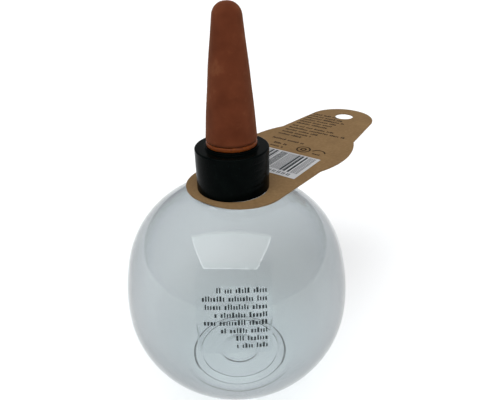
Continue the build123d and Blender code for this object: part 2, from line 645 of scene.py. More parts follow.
def quads(rows: int, columns: int, wrap_rows: bool, wrap_columns: bool) -> Grid:
    """Corner numbers of a grid's quads, row by row.

    Args:
        rows: points down the grid.
        columns: points across the grid.
        wrap_rows: True if the last row joins the first.
        wrap_columns: True if the last column joins the first.

    Returns:
        One row of four corner numbers for each quad.
    """
    i = np.arange(rows if wrap_rows else rows - 1)[:, None]
    j = np.arange(columns if wrap_columns else columns - 1)[None]
    below, right = (i + 1) % rows, (j + 1) % columns
    corners = [i * columns + j, i * columns + right, below * columns + right, below * columns + j]
    return np.stack([c + 0 * (i + j) for c in corners], 2).reshape(-1, 4)


def sheet_faces(rows: int, columns: int) -> Grid:
    """Corner numbers of a closed sheet: its face, its back and the wall round its rim.

    Args:
        rows: points down the sheet.
        columns: points across the sheet. The points of the back follow those of the face.

    Returns:
        One row of four corner numbers for each quad.
    """
    face = quads(rows, columns, False, False)
    count = rows * columns
    number = np.arange(count).reshape(rows, columns)
    rim = np.concatenate([number[0, :-1], number[:-1, -1], number[-1, :0:-1], number[:0:-1, 0]])
    ahead = np.roll(rim, -1)
    wall = np.stack([rim, rim + count, ahead + count, ahead], 1)
    return np.concatenate([face, face[:, ::-1] + count, wall])


def put_mesh(name: str, points: Grid, faces: list[Grid], smooth: bool = True) -> Piece:
    """Put points and faces into a mesh whose faces point outwards.

    The signed volume is a sixth of the sum of a . (b x c) over the faces' triangles. Where it is
    negative, every face is turned round.

    Args:
        name: the object's name.
        points: rows of (x, y, z) in millimetres.
        faces: arrays of corner numbers, one array for each number of corners.
        smooth: True for smooth shading.

    Returns:
        The new object, at the origin.
    """
    points = points.reshape(-1, 3)
    volume = 0.0
    for group in faces:
        for k in range(1, group.shape[1] - 1):
            a, b, c = points[group[:, 0]], points[group[:, k]], points[group[:, k + 1]]
            volume += float(np.einsum("ij,ij->", a, np.cross(b, c)))
    if volume < 0:
        faces = [group[:, ::-1] for group in faces]
    mesh = bpy.data.meshes.new(name)
    mesh.from_pydata((points * MM).tolist(), [], [f for group in faces for f in group.tolist()])
    mesh.polygons.foreach_set("use_smooth", np.full(len(mesh.polygons), smooth))
    mesh.update()
    piece = bpy.data.objects.new(name, mesh)
    bpy.context.scene.collection.objects.link(piece)
    return piece


def spun_shell(name: str, grid: Grid, closed: bool) -> Piece:
    """Mesh of a spun section that is a closed loop, or that starts and ends on the axis.

    A section that ends on the axis closes there with one point and a fan of triangles.

    Args:
        name: the object's name.
        grid: rows by turns by (x, y, z).
        closed: True for a loop clear of the axis.

    Returns:
        The new object.
    """
    rows, columns = grid.shape[:2]
    if closed:
        return put_mesh(name, grid, [quads(rows, columns, True, True)])
    inner = grid[1:-1]
    body = quads(rows - 2, columns, False, True)
    first, last = grid[0].mean(0), grid[-1].mean(0)
    points = np.concatenate([inner.reshape(-1, 3), first[None], last[None]])
    j = np.arange(columns)
    right = (j + 1) % columns
    base = (rows - 3) * columns
    top = np.stack([np.full(columns, len(points) - 2), right, j], 1)
    bottom = np.stack([np.full(columns, len(points) - 1), base + j, base + right], 1)
    return put_mesh(name, points, [body, top, bottom])


def printed(name: str, bars: Grid, place: Place, thickness: float) -> Piece:
    """Printed bars as thin closed plates on a surface.

    Args:
        name: the object's name.
        bars: rows of left, right, bottom and top of each bar.
        place: puts sheet coordinates and a height on the surface.
        thickness: of the ink.

    Returns:
        The new object.
    """
    x = np.repeat(bars[:, :2, None], 2, axis=2)
    y = np.repeat(bars[:, None, 2:], 2, axis=1)
    layers = np.stack([place(x, y, thickness), place(x, y, 0.0)], 1)
    plate = sheet_faces(2, 2)
    first = np.arange(len(bars)) * (plate.max() + 1)
    return put_mesh(name, layers, [(plate + first[:, None, None]).reshape(-1, 4)], smooth=False)


@dataclass(frozen=True)
class Thread:
    """A helical ridge: its pitch, its length in turns and its section. Sizes in millimetres."""

    pitch: float
    turns: float
    height: float
    base: float
    crest: float
    run_out: float = 0.1

    def ridge(self, heights: Grid, start: float, side: Side) -> Grid:
        """How far the ridge stands out, for every row and turn of a spun grid.

        Along the helix the centre of the ridge stands at start + pitch * turns. Across it the
        ridge falls in a straight line from the crest's half width to the base's. At both ends it
        fades over the run-out, in turns, by the curve 3 t^2 - 2 t^3.

        Args:
            heights: height of every row.
            start: height of the ridge where it begins, at angle zero.
            side: the way it stands.

        Returns:
            Rows by turns of what it adds to the radius.
        """
        angle = np.arange(SEGMENTS) / SEGMENTS
        share = np.zeros((len(heights), SEGMENTS))
        for whole in range(math.ceil(self.turns)):
            along = angle + whole
            away = np.abs(heights[:, None] - start - self.pitch * along)
            across = np.clip((self.base / 2 - away) / (self.base / 2 - self.crest / 2), 0, 1)
            fade = np.clip(np.minimum(along, self.turns - along) / self.run_out, 0, 1)
            share = np.maximum(share, across * fade * fade * (3 - 2 * fade))
        return share * self.height * side.value


def finish_piece(
    piece: Piece,
    finish: Finish,
    body: Body,
    slot: str,
    *nodes: str,
) -> None:
    """Dress a piece, let it ride on its body and report it.

    Args:
        piece: the object.
        finish: its finish.
        body: what it moves with.
        slot: the record's slot; not used.
        nodes: frame nodes that it stands for.
    """
    piece.data.materials.append(finish.material())
    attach(piece, body.value)
    if nodes:
        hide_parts(*nodes)
    LOG.info("%s: %d faces, rides on %s", piece.name, len(piece.data.polygons), body.value)


def redress(nodes: dict, name: str, finish: Finish) -> None:
    """Give a frame node a better finish in its own slots.

    Args:
        nodes: the frame's objects by name.
        name: the node's name.
        finish: its finish.
    """
    slots = nodes[name].data.materials
    slots.clear()
    slots.append(finish.material())
    LOG.info("%s: kept from the frame with a new finish", name)


def bars_at(places: Grid, width: float, bottom: float, top: float) -> Grid:
    """Bars of one size, side by side.

    Args:
        places: left side of each bar.
        width: width of a bar.
        bottom: where every bar begins.
        top: where every bar ends.

    Returns:
        Left, right, bottom and top of each bar.
    """
    ends = np.ones(len(places))
    return np.stack([places, places + width, bottom * ends, top * ends], 1)


@dataclass(frozen=True)
class Greeking:
    """Plain bars in place of print, in groups like words. Shares are of a row's full height."""

    tall: float
    stroke_share: float
    pitch_share: float = 0.52
    space_share: float = 0.55
    low_share: float = 0.72
    full_chance: float = 0.35
    wide_chance: float = 0.3
    wide_factor: float = 1.5
    word: tuple[int, int] = (3, 11)

    def rows(self, rows: list[Triple], rng: np.random.Generator) -> Grid:
        """Fill rows with bars, each of low or full height and of one or a wide stroke by chance.

        Args:
            rows: first and last place along each row, and the row's foot across it.
            rng: seeded generator.

        Returns:
            Left, right, bottom and top of each bar.
        """
        stroke = self.stroke_share * self.tall
        gap, space = self.pitch_share * self.tall - stroke, self.space_share * self.tall
        bars = []
        for begin, end, foot in rows:
            direction, room = math.copysign(1.0, end - begin), abs(end - begin) - stroke
            place = 0.0
            while place < room:
                for _ in range(int(rng.integers(*self.word))):
                    if place > room:
                        break
                    rise = 1.0 if rng.random() < self.full_chance else self.low_share
                    width = stroke * (self.wide_factor if rng.random() < self.wide_chance else 1.0)
                    sides = begin + direction * place, begin + direction * (place + width)
                    bars.append((min(sides), max(sides), foot, foot + self.tall * rise))
                    place += width + gap
                place += space
        return np.array(bars)


# Sub-assemblies


@dataclass(frozen=True)
class Crease:
    """A ring raised in the base: its height times a bell curve, with a width on either side."""

    radius: float
    height: float
    inward: float
    outward: float

    def places(self, reach: float, cuts: int) -> Grid:
        """Radii for fine points, out to a number of widths and with as many cuts in each."""
        inside = self.radius - self.inward * np.arange(reach * cuts, 0, -1) / cuts
        return np.concatenate([inside, self.radius + self.outward * np.arange(reach * cuts) / cuts])

    def rise(self, radii: Grid) -> Grid:
        """How much the ring raises the face at each radius."""
        away = radii - self.radius
        return self.height * np.exp(-((away / np.where(away < 0, self.inward, self.outward)) ** 2))


@dataclass
class Bottle:
    """Blown globe with its base, ledge and threaded neck. Sizes in millimetres."""

    globe_radius: float
    rim_height: float
    equator_height: float = 39.4
    side_radius: float = 88.0
    side_rise: float = 23.6
    shoulder_height: float = 92.4
    wall: float = 0.8
    foot_radius: float = 25.3
    foot_round: float = 6.0
    ring_width: float = 2.5
    ring_round: float = 1.6
    slope_width: float = 3.6
    recess_depth: float = 1.0
    recess_round: float = 1.5
    dome_radius: float = 9.2
    dome_rise: float = 2.4
    dome_round: float = 2.0
    neck_radius: float = 12.45
    neck_wall: float = 1.6
    rim_round: float = 0.3
    ledge_radius: float = 16.5
    ledge_foot: float = 18.4
    ledge_rise: float = 1.05
    ledge_round: float = 0.9
    root_round: float = 0.25
    root_rise: float = 1.0
    bore_round: float = 0.3
    thread: Thread = Thread(pitch=3.18, turns=2.25, height=1.27, base=1.5, crest=0.55)
    thread_start: float = 4.4
    row_step: float = 0.22
    inner_recess_depth: float = 1.6
    inner_dome_rise: float = 1.9
    outer_creases: tuple[Crease, ...] = (
        Crease(11.0, 0.75, 1.7, 3.0),
        Crease(19.2, 0.17, 0.3, 0.3),
        Crease(22.9, 0.6, 0.34, 0.34),
    )
    inner_creases: tuple[Crease, ...] = (Crease(9.6, 0.7, 0.6, 3.0), Crease(28.2, 0.2, 0.45, 0.45))
    crease_reach: float = 2.5
    crease_cuts: int = 4
    crease_digits: int = 3

    def globe_section(self, inset: float) -> Grid:
        """Section of the globe from its base's centre to the neck's root, every face moved in.

        It is the domed centre, the recess floor, the slope, the standing ring, the foot's rounding
        and three arcs that touch each other: lower, side and shoulder.

        Args:
            inset: how far every face is moved in.

        Returns:
            Rows of (radius, height).
        """
        floor = self.recess_depth + inset
        dome = (self.dome_radius**2 + self.dome_rise**2) / (2 * self.dome_rise)
        dome_centre = (0.0, floor + self.dome_rise - dome)
        soft = self.dome_round - inset
        lift = floor + soft - dome_centre[1]
        soft_centre = (math.sqrt((dome + soft) ** 2 - lift**2), floor + soft)
        meet = math.degrees(math.atan2(lift, soft_centre[0]))
        centre_part = [
            arc(dome_centre, dome, 90, meet),
            arc(soft_centre, soft, meet + 180, 270),
        ]
        edge = self.foot_radius - self.ring_width
        recess = edge - self.slope_width
        slope = math.degrees(math.atan2(self.recess_depth, self.slope_width))
        tangent = math.tan(math.radians(slope / 2))
        outer_soft, inner_soft = self.recess_round + inset, self.ring_round - inset
        ring_part = [
            arc((recess - outer_soft * tangent, floor - outer_soft), outer_soft, 90, 90 - slope),
            arc((edge + inner_soft * tangent, inset + inner_soft), inner_soft, 270 - slope, 270),
        ]
        across = self.globe_radius - inset - self.foot_radius
        rise = self.equator_height - inset
        lower = (across**2 + rise**2) / (2 * across)
        lower_centre = (self.globe_radius - inset - lower, self.equator_height)
        foot = self.foot_round - inset
        drop = self.equator_height - inset - foot
        foot_centre = (lower_centre[0] + math.sqrt((lower - foot) ** 2 - drop**2), inset + foot)
        leave = math.degrees(math.atan2(-drop, foot_centre[0] - lower_centre[0]))
        side = self.side_radius - inset
        side_centre = (self.globe_radius - self.side_radius, self.equator_height)
        side_turn = math.asin(self.side_rise / self.side_radius)
        normal = np.array([math.cos(side_turn), math.sin(side_turn)])
        side_end = np.array(side_centre) + side * normal
        reach = np.array([self.neck_radius, self.shoulder_height - inset]) - side_end
        shoulder = -(reach @ reach) / (2 * reach @ normal)
        shoulder_centre = side_end - shoulder * normal
        last = side_end + reach - shoulder_centre
        wall_part = [
            arc(foot_centre, foot, 270, leave + 360),
            arc(lower_centre, lower, leave, 0),
            arc(side_centre, side, 0, math.degrees(side_turn)),
            arc(
                tuple(shoulder_centre),
                shoulder,
                math.degrees(side_turn),
                math.degrees(math.atan2(last[1], last[0])),
            ),
        ]
        rows = np.concatenate(centre_part + ring_part + wall_part)
        moved = np.linalg.norm(np.diff(rows, axis=0), axis=1) > SAME
        return rows[np.concatenate([[True], moved])]

    def creased(self, rows: Grid, creases: tuple[Crease, ...]) -> Grid:
        """Raise the rings where the wall folded over the mould's edges, in one face of the base.

        The section is finely divided round each of them.

        Args:
            rows: section of the face, from the base's centre to the neck.
            creases: the rings, from the middle out.

        Returns:
            The same section with its creases.
        """
        end = creases[-1].radius + self.crease_reach * creases[-1].outward
        last = int(np.argmax(rows[:, 0] > end))
        fine = [crease.places(self.crease_reach, self.crease_cuts) for crease in creases]
        radii = np.unique(np.round(np.concatenate([rows[:last, 0], *fine]), self.crease_digits))
        heights = np.interp(radii, rows[: last + 1, 0], rows[: last + 1, 1])
        heights += sum(crease.rise(radii) for crease in creases)
        return np.concatenate([np.stack([radii, heights], 1), rows[last:]])

    def ledge_height(self) -> float:
        """Height of the ledge that the card rests on."""
        return self.shoulder_height + self.ledge_rise

    def neck_part(self, foot_height: float) -> Grid:
        """Section up the ledge and the neck, over the rim and down the bore.

        Args:
            foot_height: where the ledge's slanting foot meets the shoulder.

        Returns:
            Rows of (radius, height), close-set where the thread runs.
        """
        ledge, bore = self.ledge_height(), self.neck_radius - self.neck_wall
        root, bottom = ledge + self.root_rise, self.shoulder_height - self.wall
        ledge_part = outline(
            [
                (self.ledge_foot, foot_height, 0),
                (self.ledge_radius, ledge, self.ledge_round),
                (self.neck_radius, ledge, self.root_round),
                (self.neck_radius, root, 0),
            ],
            closed=False,
        )
        neck = outline(
            [
                (self.neck_radius, root, 0),
                (self.neck_radius, self.rim_height, self.rim_round),
                (bore, self.rim_height, self.rim_round),
                (bore, bottom, self.bore_round),
                (self.neck_radius, bottom, 0),
            ],
            closed=False,
        )
        threaded = int(np.argmax(neck[:, 0] < self.neck_radius - CLOSE))
        close_set = divided(neck[:threaded], self.row_step)
        return np.concatenate([ledge_part[:-1], close_set, neck[threaded:-1]])

    def shell(self) -> Grid:
        """Spin the outer face, the neck with its thread and the inner face as one closed shell.

        Like every blown base it is thicker in the middle, where the blank hardly stretched.

        Returns:
            Rows by turns by (x, y, z).
        """
        outside = self.creased(self.globe_section(0), self.outer_creases)
        below_ledge = (outside[:, 0] > self.ledge_foot) | (outside[:, 1] < self.equator_height)
        outside = outside[below_ledge]
        thick = replace(self, recess_depth=self.inner_recess_depth, dome_rise=self.inner_dome_rise)
        inside = self.creased(thick.globe_section(self.wall), self.inner_creases)[::-1]
        rows = np.concatenate([outside, self.neck_part(outside[-1, 1]), inside])
        ledge = self.ledge_height()
        on_neck = (np.abs(rows[:, :1] - self.neck_radius) < CLOSE) & (rows[:, 1:] > ledge)
        ridge = self.thread.ridge(rows[:, 1], ledge + self.thread_start, Side.OUTSIDE)
        return spun(rows, ridge * on_neck)

    def build(self) -> None:
        """Make the bottle and dress it."""
        piece = spun_shell("blown_globe", self.shell(), closed=False)
        finish = ClearPolyester("Stretch-blown PET")
        finish_piece(piece, finish, Body.GLOBE, "clear_pet", "globe_bottle")


@dataclass
class Label:
    """Clear film on the globe's front with rows of plain bars. Sizes in millimetres."""

    bottle: Bottle
    width: float = 28.0
    height: float = 34.0
    corner: float = 2.0
    thickness: float = 0.12
    glue: float = 0.08
    tilt_degrees: float = 31.0
    turn_degrees: float = -2.0
    ink: float = 0.02
    margin: float = 2.0
    row_pitch: float = 3.0
    row_lengths: tuple[float, ...] = (11.8, 12.4, 17.3, 24.0, 19.3, 24.0, 23.4, 19.2)
    print_style: Greeking = Greeking(tall=1.9, stroke_share=0.27)
    seed: int = 11
    columns: int = 29
    side_rows: int = 31
    corner_rows: int = 7
    halvings: int = 40

    def on_globe(self, x: Grid, y: Grid, proud: float) -> Grid:
        """Project sheet coordinates on the globe along the label's own view direction.

        A point starts in the plane through the equator's centre and moves out along the view until
        its distance from the axis is the globe's radius at its height. Halving the span finds it.

        Args:
            x: level places on the sheet.
            y: places up the sheet.
            proud: distance outside the globe's face.

        Returns:
            The same shape with (x, y, z).
        """
        section = self.bottle.globe_section(-proud)
        wall = section[np.argmax(section[:, 0] > self.bottle.foot_radius) :]
        tilt, turn = math.radians(self.tilt_degrees), math.radians(self.turn_degrees)
        out = np.array(
            [math.sin(turn) * math.cos(tilt), -math.cos(turn) * math.cos(tilt), math.sin(tilt)]
        )
        level = np.array([math.cos(turn), math.sin(turn), 0.0])
        up = np.cross(out, level)
        centre = np.array([0, 0, self.bottle.equator_height])
        start = centre + x[..., None] * level + y[..., None] * up
        low, high = np.zeros(x.shape), np.full(x.shape, 2 * self.bottle.globe_radius)
        for _ in range(self.halvings):
            middle = (low + high) / 2
            point = start + middle[..., None] * out
            inside = np.hypot(point[..., 0], point[..., 1]) < np.interp(
                point[..., 2], wall[:, 1], wall[:, 0], right=0.0
            )
            low, high = np.where(inside, middle, low), np.where(inside, high, middle)
        return start + low[..., None] * out

    def sheet(self, proud: float) -> Grid:
        """Grid of the film, a rectangle with round corners.

        Each row is as wide as the rounded rectangle at its height: within the corner's reach the
        half width is less by the corner minus the root of corner squared less rise squared.

        Args:
            proud: distance outside the globe's face.

        Returns:
            Rows by columns by (x, y, z).
        """
        bend = np.sin(np.linspace(0, TURN / 4, self.corner_rows))
        edge = self.height / 2 - self.corner
        side = edge + self.corner * bend
        y = np.concatenate([-side[::-1], np.linspace(-edge, edge, self.side_rows)[1:-1], side])
        past = np.clip(np.abs(y) - edge, 0, self.corner)
        half = self.width / 2 - self.corner + np.sqrt(self.corner**2 - past**2)
        x = np.linspace(-1, 1, self.columns) * half[:, None]
        return self.on_globe(x, y[:, None] * np.ones(self.columns), proud)

    def build(self) -> None:
        """Make the film and its print."""
        top = self.glue + self.thickness
        layers = np.stack([self.sheet(top), self.sheet(self.glue)])
        film = put_mesh("label_film", layers, [sheet_faces(*layers.shape[1:3])])
        finish = ClearFilm("Clear polypropylene film")
        finish_piece(film, finish, Body.GLOBE, "label_film", "clear_label")
        right, foot = self.width / 2 - self.margin, self.margin - self.height / 2
        rows = [
            (right, right - length, foot + number * self.row_pitch)
            for number, length in enumerate(self.row_lengths)
        ]
        bars = self.print_style.rows(rows, np.random.default_rng(self.seed))
        ink = printed(
            "label_print", bars, lambda x, y, proud: self.on_globe(x, y, top + proud), self.ink
        )
        finish_piece(ink, PrintInk("Black screen ink"), Body.GLOBE, "label_film")


@dataclass
class Closure:
    """Screw cap with its inner thread, and the gasket under it. Sizes in millimetres.

    The gasket is its outer radius, foot and top, and the seal its outer radius and top. Roundings
    in pairs go outwards from the bore, and those of the spigot's hole go down.
    """

    radius: float
    foot: float
    boss_top: float
    bottle: Bottle
    gasket: Triple
    seal: Pair
    skirt_bore: float = 13.9
    top_height: float = 111.9
    ceiling: float = 110.3
    boss_radius: float = 10.9
    spigot_hole: float = 7.05
    gasket_bore: float = 8.85
    gasket_rounds: Pair = (0.15, 0.25)
    foot_rounds: Pair = (0.1, 0.12)
    top_round: float = 0.6
    boss_round: float = 0.3
    spigot_rounds: Pair = (0.2, 0.15)
    ceiling_round: float = 0.4
    thread_turns: float = 2.5
    thread_height: float = 1.2
    thread_base: float = 1.3
    thread_crest: float = 0.5
    thread_clear: float = 0.5
    sink_depth: float = 0.09
    sink_width: float = 1.1
    sink_side_degrees: float = 310.0
    sink_spread_turns: float = 0.06
    sink_clear: float = 3.0
    flash: float = 0.13
    row_step: float = 0.22
    ring_step: float = 0.6

    def thread(self, pitch: float) -> Thread:
        """The cap's own ridge at the neck's pitch."""
        height, base, crest = self.thread_height, self.thread_base, self.thread_crest
        return Thread(pitch, self.thread_turns, height, base, crest)

    def cap(self) -> Grid:
        """Spin the cap's section, with its inner thread and the sink marks that follow it outside.

        The inner ridge is half a pitch below the neck's, so that the two pass each other. A sink
        mark is a shallow groove in the outer face along the same helix, strongest at one side:
        depth times a bell curve across the helix times a bell curve round the cap.

        Returns:
            Rows by turns by (x, y, z).
        """
        foot = self.foot - self.flash
        rows = outline(
            [
                (self.skirt_bore, foot, self.foot_rounds[0]),
                (self.radius, foot, self.foot_rounds[1]),
                (self.radius, self.top_height, self.top_round),
                (self.boss_radius, self.top_height, self.boss_round),
                (self.boss_radius, self.boss_top, self.boss_round),
                (self.spigot_hole, self.boss_top, self.spigot_rounds[0]),
                (self.spigot_hole, self.ceiling, self.spigot_rounds[1]),
                (self.skirt_bore, self.ceiling, self.ceiling_round),
            ],
            closed=True,
            step=self.row_step,
        )
        radii, heights = rows[:, :1], rows[:, 1:]
        pitch = self.bottle.thread.pitch
        start = self.bottle.ledge_height() + self.bottle.thread_start - pitch / 2
        ridge = self.thread(pitch).ridge(rows[:, 1], start, Side.INSIDE)
        below = heights < self.ceiling - self.thread_clear
        ridge = ridge * below * (np.abs(radii - self.skirt_bore) < CLOSE)
        angle = np.arange(SEGMENTS) / SEGMENTS
        away = (heights - start - pitch * angle + pitch / 2) % pitch - pitch / 2
        turned = (angle - self.sink_side_degrees / 360 + 0.5) % 1 - 0.5
        across, along = away / (self.sink_width / 2), turned / self.sink_spread_turns
        below = heights < self.top_height - self.sink_clear
        sink = self.sink_depth * np.exp(-(across**2) - along**2) * below
        return spun(rows, ridge - sink * (np.abs(radii - self.radius) < CLOSE))

    def ring(self, bore: float, outer: float, span: Pair, rounds: Pair) -> Grid:
        """Spin a flat ring.

        Args:
            bore: its inner radius.
            outer: its outer radius.
            span: its lowest and highest place.
            rounds: rounding of its inner and its outer edges.

        Returns:
            Rows by turns by (x, y, z).
        """
        low, high = span
        corners = [
            (bore, low, rounds[0]),
            (outer, low, rounds[1]),
            (outer, high, rounds[1]),
            (bore, high, rounds[0]),
        ]
        return spun(outline(corners, closed=True, step=self.ring_step))

    def build(self) -> None:
        """Make the cap and the gasket."""
        cap = spun_shell("screw_cap_moulding", self.cap(), closed=True)
        finish = MouldedPolypropylene("Moulded black polypropylene")
        finish_piece(cap, finish, Body.CAP, "black_cap", "screw_cap")
        ring = self.ring(self.gasket_bore, self.gasket[0], self.gasket[1:], self.gasket_rounds)
        liner = spun_shell("foam_washer", ring, closed=True)
        finish = FoamedPolyethylene("Foamed polyethylene liner")
        finish_piece(liner, finish, Body.GASKET, "foam_liner", "neck_gasket")


@dataclass
class Cone:
    """Hollow clay cone and the silicone ring under it. Sizes in millimetres.

    The spigot's roundings go down, and the seal's go outwards.
    """

    tip: float
    spigot_bottom: float
    closure: Closure
    base_radius: float = 10.35
    nose_radius: float = 4.95
    nose_rise: float = 0.3
    nose_round: float = 4.9
    belly: float = 0.3
    foot_round: float = 1.2
    wall: float = 2.2
    hollow_draft: float = 0.1
    hollow_round: float = 0.8
    inner_nose_share: float = 0.95
    spigot_radius: float = 7.0
    spigot_rounds: Pair = (0.4, 0.3)
    row_step: float = 0.5
    seal_rounds: Pair = (0.1, 0.5)
    waver: float = 0.07
    waves: tuple[tuple[float, ...], ...] = (
        (1.0, 2, 0.06, 0.0),
        (0.6, 3, -0.11, 1.0),
        (0.4, 7, 0.23, 2.0),
        (0.5, 0, 0.35, 1.2),
    )
    still_foot_share: float = 0.03
    still_nose_share: float = 0.1

    def section(self) -> Grid:
        """Section from the hollow's top, down its wall and the spigot, and up the outside.

        Returns:
            Rows of (radius, height) from axis to axis.
        """
        crown = self.tip - self.wall
        bore = self.spigot_radius - self.wall
        base = self.closure.seal[1]
        floor = base + self.wall
        inner_nose = self.nose_radius - self.wall
        return outline(
            [
                (0.0, crown, 0),
                (inner_nose, crown - self.nose_rise, self.inner_nose_share * inner_nose),
                (self.base_radius - self.wall - self.hollow_draft, floor, self.hollow_round),
                (bore, floor, self.spigot_rounds[0]),
                (bore, self.spigot_bottom, self.spigot_rounds[1]),
                (self.spigot_radius, self.spigot_bottom, self.spigot_rounds[1]),
                (self.spigot_radius, base, 0),
                (self.base_radius, base, self.foot_round),
                (self.nose_radius, self.tip - self.nose_rise, self.nose_round),
                (0.0, self.tip, 0),
            ],
            closed=False,
            step=self.row_step,
        )

    def swell(self, rows: Grid) -> Grid:
        """What the belly and the hand-finished waver add to the outside, for every row and turn.

        The belly is four times its height times the share of the way up times the rest of the way.
        The waver is the sum of weight * sin(count * turn + rise * height + shift) over the waves
        (weight, count, rise, shift). It stops at the foot and fades out over the nose.

        Args:
            rows: the cone's section.

        Returns:
            Rows by turns of lengths.
        """
        base = self.closure.seal[1]
        share = np.clip((rows[:, 1:] - base) / (self.tip - base), 0, 1)
        outside = np.arange(len(rows))[:, None] >= np.argmax(rows[:, 0])
        belly = self.belly * 4 * share * (1 - share) * outside
        turns = np.arange(SEGMENTS) * TURN / SEGMENTS
        waves = sum(
            weight * np.sin(count * turns + rise * rows[:, 1:] + shift)
            for weight, count, rise, shift in self.waves
        )
        fade = np.clip((1 - share) / self.still_nose_share, 0, 1)
        return belly + self.waver * waves * fade * (outside & (share > self.still_foot_share))

    def build(self) -> None:
        """Make the cone and the seal ring."""
        rows = self.section()
        piece = spun_shell("clay_cone", spun(rows, self.swell(rows)), closed=False)
        finish = FiredClay("Slip-cast terracotta")
        finish_piece(piece, finish, Body.CAP, "terracotta", "terracotta_cone")
        radius, base = self.closure.seal
        span = (self.closure.boss_top, base)
        ring = self.closure.ring(self.closure.spigot_hole, radius, span, self.seal_rounds)
        seal = spun_shell("silicone_ring", ring, closed=True)
        finish = MouldedSilicone("Moulded silicone")
        finish_piece(seal, finish, Body.CAP, "orange_silicone", "cone_seal_ring")


@dataclass
class Tag:
    """Print on the card tag and stripes on its white panel. Sizes in millimetres.

    A row of print is its start, its end and its foot. A round mark is its middle across and along
    the card, its radius and its first and last angle. A run of stripes is its start, end and pitch.
    """

    top: float
    nodes: dict
    turn_degrees: float = 51.8
    shift_along: float = 0.05
    shift_across: float = -0.4
    ink: float = 0.02
    seed: int = 5
    print_style: Greeking = Greeking(tall=1.85, stroke_share=0.34)
    caption_style: Greeking = Greeking(tall=1.4, stroke_share=0.4)
    brown: Tones = ((0.35, "#150E08"), (0.7, "#231910"))
    brown_roughness: float = 0.7
    row_pitch: float = 3.55
    row_start: float = 17.4
    far_block: tuple[float, ...] = (18.0, 19.6, 21.0, 23.2, 20.0, 15.8)
    far_block_foot: float = 80.2
    near_block: tuple[float, ...] = (14.0, 17.4, 20.6, 33.0, 24.6)
    near_block_foot: float = 61.4
    single_rows: tuple[Triple, ...] = ((16.7, -1.6, 54.6), (12.4, 5.0, 49.0), (12.1, 4.8, 45.4))
    caption: Triple = (-10.9, -15.1, 46.4)
    marks: tuple[tuple[float, ...], ...] = (
        (-4.9, 49.2, 3.2, 0.0, 360.0),
        (-4.9, 49.2, 1.2, 0.0, 360.0),
        (-12.9, 48.6, 3.4, 20.0, 160.0),
    )
    mark_width: float = 0.6
    mark_step_degrees: float = 6.0
    panel_thickness: float = 0.1
    panel_start: float = 18.6
    panel_length: float = 23.8
    stripe_margins: Pair = (4.6, 0.8)
    band: Triple = (-1.4, 2.6, 0.34)
    band_width: float = 0.2
    band_clear: Pair = (-2.0, 3.0)
    bold: tuple[float, ...] = (-12.1, -10.1, -8.1, 4.2, 6.4, 10.6, 13.6)
    bold_width: float = 1.1
    bold_middle: float = 0.45
    bold_clear: float = 0.95
    fine: Triple = (-14.6, 15.8, 0.72)
    fine_edge: Pair = (-16.15, -15.45)
    fine_width: float = 0.3
    fine_middle: float = 0.14
    dashes: Triple = (-14.0, 15.0, 2.4)
    dash_twin: float = 0.95
    dash_size: Pair = (0.5, 2.2)
    dash_margin: float = 1.3

    def on_card(self, x: Grid, y: Grid, proud: float) -> Grid:
        """Put card coordinates in the frame: y runs along the card from the neck, x across it.

        Args:
            x: places across the card.
            y: places along the card.
            proud: height over the card's top.

        Returns:
            The same shape with (x, y, z).
        """
        turn = math.radians(self.turn_degrees)
        along, across = y + self.shift_along, x + self.shift_across
        place = [
            along * math.cos(turn) - across * math.sin(turn),
            along * math.sin(turn) + across * math.cos(turn),
            np.full(np.shape(x), self.top + proud),
        ]
        return np.stack(place, -1)

    def card_rows(self) -> list[Triple]:
        """Rows of print across the card: two blocks, a single row and a short pair.

        Returns:
            First and last place along each row, and the row's foot.
        """
        blocks = ((self.far_block_foot, self.far_block), (self.near_block_foot, self.near_block))
        rows = [
            (self.row_start, self.row_start - length, foot + number * self.row_pitch)
            for foot, lengths in blocks
            for number, length in enumerate(lengths)
        ]
        return rows + list(self.single_rows)

    def stripes(self) -> Grid:
        """Plain stripes along the panel: fine ones, a few bold ones and one close-set band.

        The fine stripes leave out those that would touch a bold one or the band.

        Returns:
            Left, right, bottom and top of each stripe.
        """
        band, bold = np.arange(*self.band), np.array(self.bold)
        fine = np.append(np.arange(*self.fine), self.fine_edge)
        away = np.abs(fine[:, None] + self.fine_middle - bold - self.bold_middle).min(1)
        beside = (fine < self.band_clear[0]) | (fine > self.band_clear[1])
        fine = fine[(away > self.bold_clear) & beside]
        near = self.panel_start + self.stripe_margins[0]
        far = self.panel_start + self.panel_length - self.stripe_margins[1]
        kinds = ((band, self.band_width), (bold, self.bold_width), (fine, self.fine_width))
        return np.concatenate([bars_at(places, width, near, far) for places, width in kinds])

    def tally(self) -> Grid:
        """Row of short plain dashes along the panel's near edge, in pairs.

        Returns:
            Left, right, bottom and top of each dash.
        """
        places = np.arange(*self.dashes)
        foot, (width, tall) = self.panel_start + self.dash_margin, self.dash_size
        twins = (places, places + self.dash_twin)
        return np.concatenate([bars_at(row, width, foot, foot + tall) for row in twins])

    def round_mark(self, x: float, y: float, radius: float, start: float, end: float) -> Grid:
        """Bars that make up a plain ring or a part of one: short bars side by side round a circle.

        Args:
            x: the circle's middle, across the card.
            y: the circle's middle, along the card.
            radius: of the circle.
            start: first angle in degrees.
            end: last angle in degrees.

        Returns:
            Left, right, bottom and top of each bar.
        """
        turns = np.radians(np.arange(start, end, self.mark_step_degrees))
        x, y = x + radius * np.cos(turns), y + radius * np.sin(turns)
        half = self.mark_width / 2
        return np.stack([x - half, x + half, y - half, y + half], 1)

